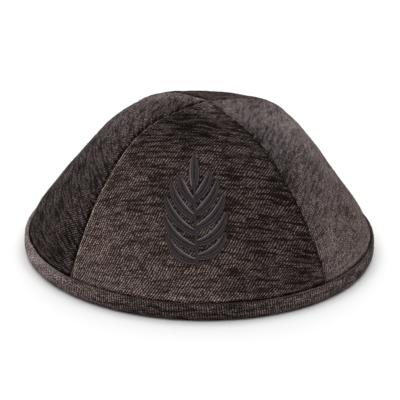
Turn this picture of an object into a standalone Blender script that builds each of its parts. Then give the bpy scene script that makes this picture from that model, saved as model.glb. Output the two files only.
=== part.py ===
"""A four-panel skullcap with a bound rim and an embroidered leaf sprig on its front panel.

Metres, +Z up. The origin is the centre of the rim, on the surface that the cap rests on. The
embroidered panel faces -Y, and a bearing is turned from -Y towards +X.
"""

import math
from bisect import bisect_right
from collections import namedtuple

import bmesh
import bpy
from mathutils import Vector

# Driving sizes of the cap
RIM_DIAMETER = 0.180
CROWN_HEIGHT = 0.080
CROWN_LEAN = 0.0026
PANEL_COUNT = 4
PANEL_WALL = 0.0018
SEAM_ROLL = 0.0007
BINDING_HEIGHT = 0.0083
BINDING_CLOTH = 0.0009
BINDING_ROUNDING = 0.0006
FIT_GAP = 0.0003

# Driving sizes of the embroidery
SPRIG_HEIGHT = 0.056
SPRIG_FOOT = 0.019
STEM_WIDTH = 0.0014
STEM_TAPER = 0.35
STEM_OVERLAP = 0.003
LEAF_WIDTH = 0.0038
LEAF_TIP_WIDTH = 0.0005
LEAF_FOOT_SHARE = 0.12
LEAF_ROUNDNESS = 0.8
THREAD_RISE = 0.0007
STEM_RISE = 0.0009
THREAD_EDGE = 0.0003

# Fineness of the facets
COLUMNS_PER_PANEL = 14
ROWS_PER_SECTION = 2
TIP_CLIMBS = (0.5, 0.2)
BINDING_SEGMENTS = 96
LEAF_STATIONS = 8
LENGTH_STEPS = 240

# How a panel's two lines climb from the binding's top edge to the crown. Reaches are shares of the
# panel edge's radius, rises are shares of the dome's rise, and the twist swings the seams in degrees.
Section = namedtuple("Section", "seam_reach seam_rise middle_reach middle_rise twist")
SECTIONS = (
    Section(1.000, 0.000, 1.000, 0.000, 0.0),
    Section(0.958, 0.146, 0.946, 0.142, -0.3),
    Section(0.898, 0.288, 0.868, 0.276, -0.8),
    Section(0.834, 0.422, 0.794, 0.396, -1.5),
    Section(0.762, 0.544, 0.724, 0.512, -2.4),
    Section(0.682, 0.656, 0.654, 0.626, -3.4),
    Section(0.598, 0.762, 0.580, 0.738, -4.6),
    Section(0.502, 0.853, 0.492, 0.834, -6.2),
    Section(0.390, 0.918, 0.384, 0.902, -8.0),
    Section(0.272, 0.957, 0.268, 0.944, -9.2),
    Section(0.140, 0.984, 0.138, 0.974, -9.8),
    Section(0.000, 1.000, 0.000, 1.000, -10.0),
)

# One row for each pair of leaves, from the sprig's foot to its tip. Foot and length are shares of
# the sprig's height, lean is the angle from the stem where a leaf starts, and curl is what it turns.
Leaf = namedtuple("Leaf", "foot length lean curl")
LEAF_PAIRS = (
    Leaf(0.08, 0.35, 88.0, -76.0),
    Leaf(0.20, 0.40, 80.0, -70.0),
    Leaf(0.33, 0.41, 71.0, -62.0),
    Leaf(0.46, 0.37, 61.0, -54.0),
    Leaf(0.59, 0.29, 50.0, -44.0),
)
TOP_LEAF = Leaf(0.70, 0.30, 0.0, 0.0)
LEFT_LEAF_DROP = 0.04

# Sizes that follow from the driving ones
RIM_RADIUS = RIM_DIAMETER / 2
EDGE_RADIUS = RIM_RADIUS - BINDING_CLOTH - FIT_GAP
DOME_RISE = CROWN_HEIGHT - BINDING_HEIGHT
SKIRT_HEIGHT = BINDING_HEIGHT - BINDING_CLOTH - FIT_GAP
QUARTER = 2 * math.pi / PANEL_COUNT
TOP = len(SECTIONS) - 1
SEAM_INSET = FIT_GAP / 2 / math.sin(math.pi / PANEL_COUNT)


def clear_scene():
    """Removes what the opened file holds."""
    for item in list(bpy.data.objects):
        bpy.data.objects.remove(item)


def cloth(name, colour, roughness):
    """A matt textile material."""
    material = bpy.data.materials.new(name)
    material.use_nodes = True
    shader = material.node_tree.nodes["Principled BSDF"]
    shader.inputs["Base Color"].default_value = (*colour, 1.0)
    shader.inputs["Roughness"].default_value = roughness
    shader.inputs["Metallic"].default_value = 0.0
    material.diffuse_color = (*colour, 1.0)
    return material


def object_from(shape, name, material, crease_degrees):
    """Turns a bmesh into a named object, smooth but for its sharp edges."""
    bmesh.ops.recalc_face_normals(shape, faces=shape.faces)
    mesh = bpy.data.meshes.new(name)
    shape.to_mesh(mesh)
    shape.free()
    mesh.shade_smooth()
    mesh.set_sharp_from_angle(angle=math.radians(crease_degrees))
    mesh.materials.append(material)
    item = bpy.data.objects.new(name, mesh)
    bpy.context.scene.collection.objects.link(item)
    return item


def smooth_column(name, climb, before, after):
    """Reads one column of SECTIONS at any climb, 0 at the binding and TOP at the crown."""
    column = [before, *(getattr(section, name) for section in SECTIONS), after]
    step = min(max(int(climb), 0), TOP - 1)
    share = climb - step
    a, b, c, d = column[step:step + 4]
    bend = (2 * a - 5 * b + 4 * c - d) * share * share
    return b + 0.5 * ((c - a) * share + bend + (3 * (b - c) + d - a) * share ** 3)


def line_point(line, climb):
    """Radius and height of the seam or middle line. A climb from -1 to 0 is the skirt in the binding."""
    if climb < 0:
        return EDGE_RADIUS, BINDING_HEIGHT + climb * SKIRT_HEIGHT
    second, last_but_one = SECTIONS[1], SECTIONS[-2]
    reach = smooth_column(line + "_reach", climb, 1.0, -getattr(last_but_one, line + "_reach"))
    rise = smooth_column(
        line + "_rise",
        climb,
        -getattr(second, line + "_rise"),
        getattr(last_but_one, line + "_rise"),
    )
    return reach * EDGE_RADIUS, BINDING_HEIGHT + rise * DOME_RISE


def sunk_line_point(line, climb, depth):
    """The same point moved inwards by a depth, square to the line."""
    radius, height = line_point(line, climb)
    if climb <= 0:
        return radius - depth, height
    step = 0.01
    low = line_point(line, climb - step)
    high = line_point(line, min(climb + step, TOP))
    if climb >= TOP:
        return 0.0, height - depth
    along = Vector((high[0] - low[0], high[1] - low[1])).normalized()
    return max(radius - depth * along.y, 0.0), height + depth * along.x


def on_bearing(bearing, radius, height):
    """A point of the dome, with the crown's lean growing towards the top."""
    lean = CROWN_LEAN * max((height - BINDING_HEIGHT) / DOME_RISE, 0.0) ** 3
    return Vector((radius * math.sin(bearing) + lean, -radius * math.cos(bearing), height))


def twist_at(climb):
    """How far the seams swing at a climb, in radians."""
    if climb <= 0:
        return 0.0
    second, last_but_one = SECTIONS[1], SECTIONS[-2]
    return math.radians(smooth_column("twist", climb, -second.twist, last_but_one.twist))


def panel_row(panel, climb, depth):
    """Left seam, middle and right seam points of one panel at a climb and a depth in its wall."""
    bearing = panel * QUARTER + twist_at(climb)
    seam = sunk_line_point("seam", climb, depth)
    middle = sunk_line_point("middle", climb, depth)
    left = on_bearing(bearing - QUARTER / 2, *seam)
    right = on_bearing(bearing + QUARTER / 2, *seam)
    return left, on_bearing(bearing, *middle), right


def row_half_width(panel, climb, depth=0.0):
    """Half the straight distance between a row's two seams."""
    left, _, right = panel_row(panel, climb, depth)
    return (right - left).length / 2


def panel_point(panel, across, climb, depth=0.0):
    """A point on the arc through a row's three points. Across is -1 and 1 at the seams."""
    left, middle, right = panel_row(panel, climb, depth)
    centre = (left + right) / 2
    half = (right - left) / 2
    bulge = middle - centre
    if half.length < 1e-6 or bulge.length < 1e-7:
        return centre + half * across
    radius = (half.length_squared + bulge.length_squared) / (2 * bulge.length)
    rise = math.sqrt(max(radius ** 2 - half.length_squared * across ** 2, 0.0))
    return centre + half * across + bulge * ((rise - radius) / bulge.length + 1)


def panel_climbs():
    """The rows of a panel, from the skirt's lower edge to just below its tip."""
    climbs = [-1.0]
    climbs += [step / ROWS_PER_SECTION for step in range(TOP * ROWS_PER_SECTION)]
    climbs += [TOP - share / ROWS_PER_SECTION for share in TIP_CLIMBS]
    return climbs


def panel_columns(half_width):
    """Across and depth of each column of the outer skin, whose edges roll in towards the seams."""
    edge = 1 - SEAM_INSET / half_width
    roll = min(SEAM_ROLL, half_width - SEAM_INSET) / half_width
    inner = edge - roll
    steps = COLUMNS_PER_PANEL - 2
    columns = [(-edge, roll * half_width)]
    columns += [(inner * (2 * step / steps - 1), 0.0) for step in range(steps + 1)]
    columns.append((edge, roll * half_width))
    return columns


def crown_panel(panel, name, material):
    """One gore of the dome, as a closed wall whose lower edge stands in the binding."""
    climbs = panel_climbs()
    shape = bmesh.new()
    made = bmesh.ops.create_grid(
        shape, x_segments=COLUMNS_PER_PANEL, y_segments=len(climbs) - 1, size=0.5
    )
    grid = sorted(made["verts"], key=lambda vert: (round(vert.co.y, 5), vert.co.x))
    width = COLUMNS_PER_PANEL + 1
    copied = bmesh.ops.duplicate(shape, geom=shape.verts[:] + shape.edges[:] + shape.faces[:])
    inner_of = copied["vert_map"]
    for row, climb in enumerate(climbs):
        half_width = row_half_width(panel, climb)
        columns = panel_columns(half_width)
        for (across, depth), vert in zip(columns, grid[row * width:(row + 1) * width]):
            inner_of[vert].co = panel_point(panel, across, climb, PANEL_WALL)
            vert.co = panel_point(panel, across, climb, depth)
    rims = [edge for edge in shape.edges if edge.is_boundary]
    bmesh.ops.bridge_loops(shape, edges=rims)
    return object_from(shape, name, material, crease_degrees=40)


def rim_binding(material):
    """The folded strip that holds the panels' lower edges in its slot, turned round the rim."""
    slot_outer = EDGE_RADIUS + FIT_GAP
    slot_inner = EDGE_RADIUS - PANEL_WALL - FIT_GAP
    inner_face = slot_inner - BINDING_CLOTH
    rounding = BINDING_ROUNDING
    lip = rounding / 2
    top = BINDING_HEIGHT
    outline = (
        (RIM_RADIUS - rounding * 2, 0.0),
        (RIM_RADIUS - rounding / 2, rounding),
        (RIM_RADIUS, rounding * 3),
        (RIM_RADIUS, top - rounding * 2),
        (RIM_RADIUS - lip, top),
        (slot_outer, top - lip),
        (slot_outer, BINDING_CLOTH),
        (slot_inner, BINDING_CLOTH),
        (slot_inner, top - lip),
        (inner_face + lip, top),
        (inner_face, top - rounding),
        (inner_face, rounding * 2),
        (inner_face + rounding, 0.0),
    )
    shape = bmesh.new()
    corners = [shape.verts.new((radius, 0.0, height)) for radius, height in outline]
    sides = [shape.edges.new(pair) for pair in zip(corners, corners[1:] + corners[:1])]
    bmesh.ops.spin(
        shape,
        geom=corners + sides,
        cent=(0.0, 0.0, 0.0),
        axis=(0.0, 0.0, 1.0),
        angle=2 * math.pi,
        steps=BINDING_SEGMENTS,
        use_merge=True,
    )
    return object_from(shape, "rim_binding", material, crease_degrees=50)


def leaf_fullness(share):
    """How full a leaf is along its length: narrow at its foot, widest past it, fine at its tip."""
    return math.sin(math.pi * (LEAF_FOOT_SHARE + (1 - LEAF_FOOT_SHARE) * share)) ** LEAF_ROUNDNESS


def leaf_path(leaf, side, drop):
    """Centre, direction and half width at each station of a leaf, on the flat pattern."""
    length = leaf.length * SPRIG_HEIGHT
    spot = Vector((0.0, (leaf.foot - drop) * SPRIG_HEIGHT))
    stations = []
    for step in range(LEAF_STATIONS + 1):
        share = step / LEAF_STATIONS
        angle = math.radians(leaf.lean + leaf.curl * share)
        along = Vector((side * math.sin(angle), math.cos(angle)))
        half = (LEAF_TIP_WIDTH + (LEAF_WIDTH - LEAF_TIP_WIDTH) * leaf_fullness(share)) / 2
        stations.append((spot.copy(), along, half))
        spot += along * (length / LEAF_STATIONS)
    return stations


def stem_path():
    """The stem, straight up the flat pattern and a little narrower at its top."""
    length = TOP_LEAF.foot * SPRIG_HEIGHT + STEM_OVERLAP
    steps = 2 * LEAF_STATIONS
    stations = []
    for step in range(steps + 1):
        share = step / steps
        half = STEM_WIDTH / 2 * (1 - STEM_TAPER * share)
        stations.append((Vector((0.0, share * length)), Vector((0.0, 1.0)), half))
    return stations


def stitched_ridge(stations, rise):
    """A closed ridge of satin stitch on the flat pattern, with thin edges and a raised middle."""
    widest = max(half for _, _, half in stations)
    shape = bmesh.new()
    rings = []
    for spot, along, half in stations:
        aside = Vector((along.y, -along.x))
        crest = THREAD_EDGE + (rise - THREAD_EDGE) * math.sqrt(half / widest)
        profile = ((-1, 0.0), (1, 0.0), (1, THREAD_EDGE), (0, crest), (-1, THREAD_EDGE))
        ring = []
        for share, height in profile:
            foot = spot + aside * (half * share)
            ring.append(shape.verts.new((foot.x, foot.y, height)))
        rings.append(ring)
    for ring, following in zip(rings, rings[1:]):
        for near in range(len(ring)):
            far = (near + 1) % len(ring)
            shape.faces.new((ring[near], ring[far], following[far], following[near]))
    shape.faces.new(rings[0])
    shape.faces.new(rings[-1])
    bmesh.ops.recalc_face_normals(shape, faces=shape.faces)
    mesh = bpy.data.meshes.new("ridge")
    shape.to_mesh(mesh)
    shape.free()
    return mesh


def fuse(meshes):
    """The Boolean union of overlapping meshes, as one mesh."""
    whole = bpy.data.objects.new("fused", meshes[0])
    bpy.context.scene.collection.objects.link(whole)
    for mesh in meshes[1:]:
        other = bpy.data.objects.new("added", mesh)
        bpy.context.scene.collection.objects.link(other)
        union = whole.modifiers.new("union", "BOOLEAN")
        union.operation = "UNION"
        union.solver = "EXACT"
        union.object = other
        bpy.context.view_layer.update()
        evaluated = whole.evaluated_get(bpy.context.evaluated_depsgraph_get())
        fused = bpy.data.meshes.new_from_object(evaluated)
        whole.modifiers.remove(union)
        whole.data = fused
        bpy.data.objects.remove(other)
    fused = whole.data
    bpy.data.objects.remove(whole)
    return fused


def middle_lengths():
    """The length of the front panel's middle line from the binding to each of its fine steps."""
    lengths = [0.0]
    last = panel_point(0, 0.0, 0.0)
    for step in range(1, LENGTH_STEPS + 1):
        spot = panel_point(0, 0.0, TOP * step / LENGTH_STEPS)
        lengths.append(lengths[-1] + (spot - last).length)
        last = spot
    return lengths


def on_front_panel(flat, lengths):
    """Lays a point of the flat pattern on the front panel, a small gap above its cloth."""
    length = SPRIG_FOOT + flat.y
    step = min(max(bisect_right(lengths, length) - 1, 0), LENGTH_STEPS - 1)
    share = (length - lengths[step]) / (lengths[step + 1] - lengths[step])
    climb = TOP * (step + share) / LENGTH_STEPS
    across = flat.x / row_half_width(0, climb)
    return panel_point(0, across, climb, -(FIT_GAP + flat.z))


def embroidered_sprig(material):
    """The sprig in satin stitch, as one raised solid that follows the front panel."""
    ridges = [stitched_ridge(stem_path(), STEM_RISE)]
    ridges.append(stitched_ridge(leaf_path(TOP_LEAF, 1, 0.0), THREAD_RISE))
    for leaf in LEAF_PAIRS:
        ridges.append(stitched_ridge(leaf_path(leaf, 1, 0.0), THREAD_RISE))
        ridges.append(stitched_ridge(leaf_path(leaf, -1, LEFT_LEAF_DROP), THREAD_RISE))
    shape = bmesh.new()
    shape.from_mesh(fuse(ridges))
    lengths = middle_lengths()
    for vert in shape.verts:
        vert.co = on_front_panel(vert.co, lengths)
    bmesh.ops.triangulate(shape, faces=shape.faces)
    return object_from(shape, "embroidered_sprig", material, crease_degrees=60)


def build():
    """Makes the four panels, the binding and the embroidery."""
    clear_scene()
    tweed = cloth("chenille_cloth", (0.075, 0.052, 0.047), 0.95)
    strip = cloth("binding_cloth", (0.065, 0.046, 0.043), 0.95)
    thread = cloth("satin_thread", (0.040, 0.033, 0.040), 0.55)
    names = ("front_panel", "right_panel", "back_panel", "left_panel")
    for panel in range(PANEL_COUNT):
        name = names[panel] if PANEL_COUNT == len(names) else f"panel_{panel + 1}"
        crown_panel(panel, name, tweed)
    rim_binding(strip)
    embroidered_sprig(thread)


build()
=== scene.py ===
"""Finishes a four-panel skullcap: chenille cloth, a folded rim, satin stitches and a pale studio."""

import math
from collections import namedtuple

import bmesh
import bpy
import numpy as np
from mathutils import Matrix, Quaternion, Vector


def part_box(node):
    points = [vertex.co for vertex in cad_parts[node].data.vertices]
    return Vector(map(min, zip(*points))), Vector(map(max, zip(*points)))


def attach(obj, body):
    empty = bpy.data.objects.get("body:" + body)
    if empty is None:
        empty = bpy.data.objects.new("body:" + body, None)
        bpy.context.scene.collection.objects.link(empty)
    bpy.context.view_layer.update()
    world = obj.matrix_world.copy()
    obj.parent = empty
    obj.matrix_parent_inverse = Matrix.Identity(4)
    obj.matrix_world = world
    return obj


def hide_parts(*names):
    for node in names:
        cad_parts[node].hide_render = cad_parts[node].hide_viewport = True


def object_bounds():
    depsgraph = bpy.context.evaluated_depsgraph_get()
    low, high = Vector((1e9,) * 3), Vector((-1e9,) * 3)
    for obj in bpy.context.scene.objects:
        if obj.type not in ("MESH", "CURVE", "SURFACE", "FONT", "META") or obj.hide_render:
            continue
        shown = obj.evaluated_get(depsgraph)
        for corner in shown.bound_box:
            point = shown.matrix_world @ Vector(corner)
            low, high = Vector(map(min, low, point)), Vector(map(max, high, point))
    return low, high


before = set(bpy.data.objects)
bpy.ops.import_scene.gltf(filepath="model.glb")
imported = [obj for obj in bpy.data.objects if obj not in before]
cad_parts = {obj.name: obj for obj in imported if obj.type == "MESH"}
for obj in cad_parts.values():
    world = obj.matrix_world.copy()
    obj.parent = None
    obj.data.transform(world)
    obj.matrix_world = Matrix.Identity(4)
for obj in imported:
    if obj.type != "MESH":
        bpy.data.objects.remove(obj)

bl_info = {
    "name": "Embroidered Skullcap",
    "version": (1, 0, 0),
    "blender": (4, 5, 0),
    "location": "View3D > Sidebar > Skullcap",
    "description": "Cloth, stitches and studio for a four-panel skullcap",
    "category": "Object",
}

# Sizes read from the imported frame
CAD_LOW, CAD_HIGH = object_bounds()
RIM_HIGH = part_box("rim_binding")[1]
RIM_RADIUS = RIM_HIGH.x
BINDING_HEIGHT = RIM_HIGH.z
EDGE_RADIUS = -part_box("front_panel")[0].y
DOME_RISE = CAD_HIGH.z - BINDING_HEIGHT
SKIRT_HEIGHT = BINDING_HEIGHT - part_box("front_panel")[0].z

# Sizes that the solids share with the finished cloth
GORES = ("front", "right", "back", "left")
QUARTER = 2 * math.pi / len(GORES)
PANEL_WALL = 0.0018
BINDING_CLOTH = 0.0009
FIT_GAP = 0.0003
CROWN_LEAN = 0.0026

# How a gore's two lines climb from the rim fold to the crown, as shares of its edge radius and rise
Section = namedtuple("Section", "seam_reach seam_rise middle_reach middle_rise twist")
SECTIONS = (
    Section(1.000, 0.000, 1.000, 0.000, 0.0),
    Section(0.958, 0.146, 0.946, 0.142, -0.3),
    Section(0.898, 0.288, 0.868, 0.276, -0.8),
    Section(0.834, 0.422, 0.794, 0.396, -1.5),
    Section(0.762, 0.544, 0.724, 0.512, -2.4),
    Section(0.682, 0.656, 0.654, 0.626, -3.4),
    Section(0.598, 0.762, 0.580, 0.738, -4.6),
    Section(0.502, 0.853, 0.492, 0.834, -6.2),
    Section(0.390, 0.918, 0.384, 0.902, -8.0),
    Section(0.272, 0.957, 0.268, 0.944, -9.2),
    Section(0.140, 0.984, 0.138, 0.974, -9.8),
    Section(0.000, 1.000, 0.000, 1.000, -10.0),
)
TOP = len(SECTIONS) - 1
CLIMB_STEP = 0.01

# How finely the cloth is meshed
GORE_COLUMNS = 268
GORE_ROWS = 240
SEAM_COLUMNS = 10
SKIRT_ROWS = 4
TUCK_ROWS = 18
TUCK_ZONE = 0.0045
BACK_COLUMNS = 70
BACK_ROWS = 60
RIM_STEPS = 1400
RIM_PITCH = 0.00046

# How the rim fold's strip differs from the gores: its rows' angle in degrees, its flecks, its inner foot
RIM_WALE_LEAN = 84.0
RIM_FLECK_GROWTH = 1.2
INNER_FOOT_SHARE = 0.4

# How far the weave's threads stray from their straight lines
THREAD_DRIFT = 0.0006

# The sprig's leaves, from its foot to its tip, as on the solid
SPRIG_HEIGHT = 0.056
SPRIG_FOOT = 0.019
STEM_WIDTH = 0.0014
STEM_TAPER = 0.35
STEM_OVERLAP = 0.003
LEAF_WIDTH = 0.0038
LEAF_TIP_WIDTH = 0.0005
LEAF_FOOT_SHARE = 0.12
LEAF_ROUNDNESS = 0.8
LEFT_LEAF_DROP = 0.04
Leaf = namedtuple("Leaf", "foot length lean curl")
LEAF_PAIRS = (
    Leaf(0.08, 0.35, 88.0, -76.0),
    Leaf(0.20, 0.40, 80.0, -70.0),
    Leaf(0.33, 0.41, 71.0, -62.0),
    Leaf(0.46, 0.37, 61.0, -54.0),
    Leaf(0.59, 0.29, 50.0, -44.0),
)
TOP_LEAF = Leaf(0.70, 0.30, 0.0, 0.0)
STITCH_SINK = 0.00015

# Each gore's painted light, shade and sheen, partly for its pile seen from that side and partly for where
# the light falls: how light it is painted at the corners, how smooth and mauve its painted sheen, how
# light its left edge's painted highlight
GorePaintedLight = namedtuple("GorePaintedLight", "low_left low_right high_left high_right smooth mauve edge")
GORE_PAINTED_LIGHT = {
    "front": GorePaintedLight(0.97, 0.39, 0.14, 0.45, 0.0, 0.0, 0.9),
    "right": GorePaintedLight(0.89, 0.80, 0.56, 0.66, 0.22, 1.0, -0.1),
    "back": GorePaintedLight(0.45, 0.45, 0.40, 0.40, 0.1, 0.3, 0.3),
    "left": GorePaintedLight(0.43, 0.38, 1.04, 0.53, 0.0, 0.8, 0.3),
}

# Patches of painted light and shade on the pile, each at a share of its gore's width and height
PaintedPatch = namedtuple("PaintedPatch", "gore across rise size gain")
PAINTED_PATCHES = (
    PaintedPatch("front", 0.0, 0.97, 0.010, 2.20),
    PaintedPatch("front", 0.0, 0.06, 0.014, 1.12),
    PaintedPatch("front", -0.15, 0.76, 0.013, 0.58),
    PaintedPatch("right", 0.00, 0.36, 0.008, 1.40),
    PaintedPatch("right", 0.10, 0.55, 0.016, 1.58),
    PaintedPatch("right", -0.30, 0.44, 0.006, 0.84),
    PaintedPatch("right", -0.15, 0.66, 0.007, 1.12),
    PaintedPatch("right", -0.45, 0.82, 0.011, 1.12),
    PaintedPatch("right", -0.35, 0.20, 0.009, 0.80),
    PaintedPatch("right", -0.97, 0.28, 0.009, 0.72),
    PaintedPatch("right", -0.97, 0.50, 0.011, 0.62),
    PaintedPatch("right", -0.95, 0.70, 0.009, 0.60),
    PaintedPatch("back", 0.30, 0.45, 0.022, 1.15),
    PaintedPatch("left", 0.45, 0.22, 0.016, 0.85),
    PaintedPatch("left", 0.30, 0.86, 0.014, 0.56),
)

# The rim fold's painted light and shade and its painted mauve sheen at each bearing from the front, and
# how deep the gores are tucked in behind it
RimLightAndTuck = namedtuple("RimLightAndTuck", "bearing gain mauve tuck")
RIM_LIGHT_AND_TUCK = (
    RimLightAndTuck(-180, 0.7, 0.3, 0.0006),
    RimLightAndTuck(-110, 1.6, 0.8, 0.0010),
    RimLightAndTuck(-70, 1.8, 0.9, 0.0010),
    RimLightAndTuck(-48, 0.94, 0.6, 0.0009),
    RimLightAndTuck(-15, 0.50, 0.2, 0.0005),
    RimLightAndTuck(10, 0.47, 0.2, 0.0005),
    RimLightAndTuck(45, 0.71, 0.4, 0.0005),
    RimLightAndTuck(90, 0.50, 0.7, 0.0004),
    RimLightAndTuck(180, 0.7, 0.3, 0.0006),
)

# Bands along a gore's edges, by their distance from the edge: painted shade in the seam's crease, on the
# seam's roll and in the crease above the rim fold, and a lit band of painted highlight on the ledge above
# it
Band = namedtuple("Band", "place half_width change")
SEAM_SHADE_BAND = Band(0.0, 0.0003, -0.70)
ROLL_LIGHT_AND_SHADE_BAND = Band(0.0008, 0.0006, -0.40)
TUCK_SHADE_BAND = Band(0.0008, 0.0010, -0.45)
LIT_BAND = Band(0.0032, 0.0012, 0.30)

# The soft lights over the cap, each with the studio setting that holds its power, and the floor
Softbox = namedtuple("Softbox", "name power place size")
SOFTBOXES = (
    Softbox("overhead_light", "key", (0.0, 0.0, 1.0), 2.0),
    Softbox("back_light", "back", (0.0, 0.9, 0.9), 1.6),
    Softbox("front_light", "fill", (-0.5, -1.2, 0.7), 0.8),
)
LIGHT_AIM = (0.0, 0.0, 0.03)
FLOOR_HALF = 4.0

# The picture's width and the pixel on which the middle of the cap lies
IMAGE_WIDTH = 400
CAP_MIDDLE = (0.0, 0.0, 0.04)
CAP_PIXEL = (200.6, 173.8)


def noise_lattice(seed, cells=64):
    """A square of seeded random heights from -1 to 1."""
    return np.random.default_rng(seed).uniform(-1.0, 1.0, (cells, cells))


def cloud(x, y, wide, high, seed):
    """Smooth noise from about -1 to 1, with blobs of a width and a height."""
    lattice = noise_lattice(seed)
    cells = len(lattice)
    column = np.floor(x / wide).astype(int)
    row = np.floor(y / high).astype(int)
    across = x / wide - column
    up = y / high - row
    across = across * across * (3 - 2 * across)
    up = up * up * (3 - 2 * up)
    near = lattice[row % cells, column % cells] * (1 - across)
    near += lattice[row % cells, (column + 1) % cells] * across
    far = lattice[(row + 1) % cells, column % cells] * (1 - across)
    far += lattice[(row + 1) % cells, (column + 1) % cells] * across
    return near * (1 - up) + far * up


def ease(values, low, high):
    """A smooth step from 0 at low to 1 at high."""
    share = np.clip((values - low) / (high - low), 0.0, 1.0)
    return share * share * (3 - 2 * share)


def hump(values, centre, half_width):
    """A smooth hump of height 1 about a centre."""
    return np.exp(-(((values - centre) / half_width) ** 2))


def column_curve(name, climb, before, after):
    """Reads one column of SECTIONS at an array of climbs, 0 at the rim fold and TOP at the crown."""
    values = np.array([before, *(getattr(section, name) for section in SECTIONS), after])
    step = np.clip(np.floor(climb).astype(int), 0, TOP - 1)
    share = climb - step
    a, b, c, d = (values[step + place] for place in range(4))
    bend = (2 * a - 5 * b + 4 * c - d) * share ** 2
    return b + 0.5 * ((c - a) * share + bend + (3 * (b - c) + d - a) * share ** 3)


def rim_row(bearing, name):
    """Reads one column of RIM_LIGHT_AND_TUCK at an array of bearings."""
    bearings = [row.bearing for row in RIM_LIGHT_AND_TUCK]
    return np.interp(np.degrees(bearing), bearings, [getattr(row, name) for row in RIM_LIGHT_AND_TUCK])


def line_points(line, climb):
    """Radius and height of the seam or middle line. A climb below 0 is the skirt in the rim fold."""
    second, last_but_one = SECTIONS[1], SECTIONS[-2]
    reach = column_curve(line + "_reach", climb, 1.0, -getattr(last_but_one, line + "_reach"))
    rise = column_curve(
        line + "_rise",
        climb,
        -getattr(second, line + "_rise"),
        getattr(last_but_one, line + "_rise"),
    )
    skirt = climb < 0
    radius = np.where(skirt, 1.0, reach) * EDGE_RADIUS
    height = np.where(skirt, climb * SKIRT_HEIGHT, rise * DOME_RISE) + BINDING_HEIGHT
    return radius, height


def sunk_line_points(line, climb, depth):
    """The same points moved inwards by a depth, square to the line."""
    radius, height = line_points(line, climb)
    low = line_points(line, climb - CLIMB_STEP)
    high = line_points(line, np.minimum(climb + CLIMB_STEP, TOP))
    run, rise = high[0] - low[0], high[1] - low[1]
    length = np.hypot(run, rise)
    return np.maximum(radius - depth * rise / length, 0.0), height + depth * run / length


def on_bearing(bearing, radius, height):
    """Points of the dome, with the crown's lean growing towards the top."""
    lean = CROWN_LEAN * np.clip((height - BINDING_HEIGHT) / DOME_RISE, 0.0, None) ** 3
    return np.stack([radius * np.sin(bearing) + lean, -radius * np.cos(bearing), height], axis=-1)


def gore_row(gore, climb, depth):
    """Left seam, middle and right seam points of a gore at arrays of climbs and depths."""
    twist = column_curve("twist", climb, -SECTIONS[1].twist, SECTIONS[-2].twist)
    bearing = gore * QUARTER + np.radians(np.where(climb > 0, twist, 0.0))
    seam = sunk_line_points("seam", climb, depth)
    middle = sunk_line_points("middle", climb, depth)
    left = on_bearing(bearing - QUARTER / 2, *seam)
    right = on_bearing(bearing + QUARTER / 2, *seam)
    return left, on_bearing(bearing, *middle), right


def row_arc(gore, climb, depth=0.0):
    """Centre, half chord and bulge of the arc through a row, its half width and its radius."""
    left, middle, right = gore_row(gore, climb, depth)
    centre = (left + right) / 2
    half = (right - left) / 2
    bulge = middle - centre
    width = np.maximum(np.linalg.norm(half, axis=-1), 1e-7)
    depth_of_arc = np.maximum(np.linalg.norm(bulge, axis=-1), 1e-7)
    radius = (width ** 2 + depth_of_arc ** 2) / (2 * depth_of_arc)
    return centre, half, bulge, width, depth_of_arc, radius


def gore_points(gore, across, climb, depth=0.0):
    """Points of a gore. Across is -1 and 1 at its seams."""
    centre, half, bulge, width, depth_of_arc, radius = row_arc(gore, climb, depth)
    rise = np.sqrt(np.clip(radius ** 2 - (width * across) ** 2, 0.0, None))
    share = (rise - radius) / depth_of_arc + 1
    return centre + half * across[..., None] + bulge * share[..., None]


def middle_line():
    """Climbs from the skirt's edge to the crown, with each one's length from the fold and its radius."""
    climbs = np.linspace(-1.0, TOP, 120 * (TOP + 1) + 1)
    spots = gore_points(0, np.zeros_like(climbs), climbs)
    strides = np.linalg.norm(np.diff(spots, axis=0), axis=-1)
    lengths = np.concatenate([[0.0], np.cumsum(strides)])
    lengths -= np.interp(0.0, climbs, lengths)
    return climbs, lengths, line_points("middle", climbs)[0]


MIDDLE_CLIMBS, MIDDLE_LENGTHS, MIDDLE_RADII = middle_line()
MIDDLE_NARROWING = -np.gradient(MIDDLE_RADII, MIDDLE_LENGTHS)
FULL_LENGTH = MIDDLE_LENGTHS[-1]


def climb_at(length):
    """The climb at which the middle line is this long, counted from the rim fold."""
    return np.interp(length, MIDDLE_LENGTHS, MIDDLE_CLIMBS)


def flat_cloth(gore, across, climb):
    """Where points of a gore lay on the flat cloth, in metres along the weft and along the warp."""
    _, _, _, width, _, radius = row_arc(gore, climb)
    along = radius * np.arcsin(np.clip(width * across / radius, -1.0, 1.0))
    length = np.interp(climb, MIDDLE_CLIMBS, MIDDLE_LENGTHS)
    narrowing = np.interp(climb, MIDDLE_CLIMBS, MIDDLE_NARROWING)
    curve = narrowing / np.maximum(line_points("middle", climb)[0], 1e-4)
    curve = np.maximum(curve, 1e-3)
    turn = np.clip(along * curve, -1.2, 1.2)
    return np.sin(turn) / curve, length + (1 - np.cos(turn)) / curve


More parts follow.
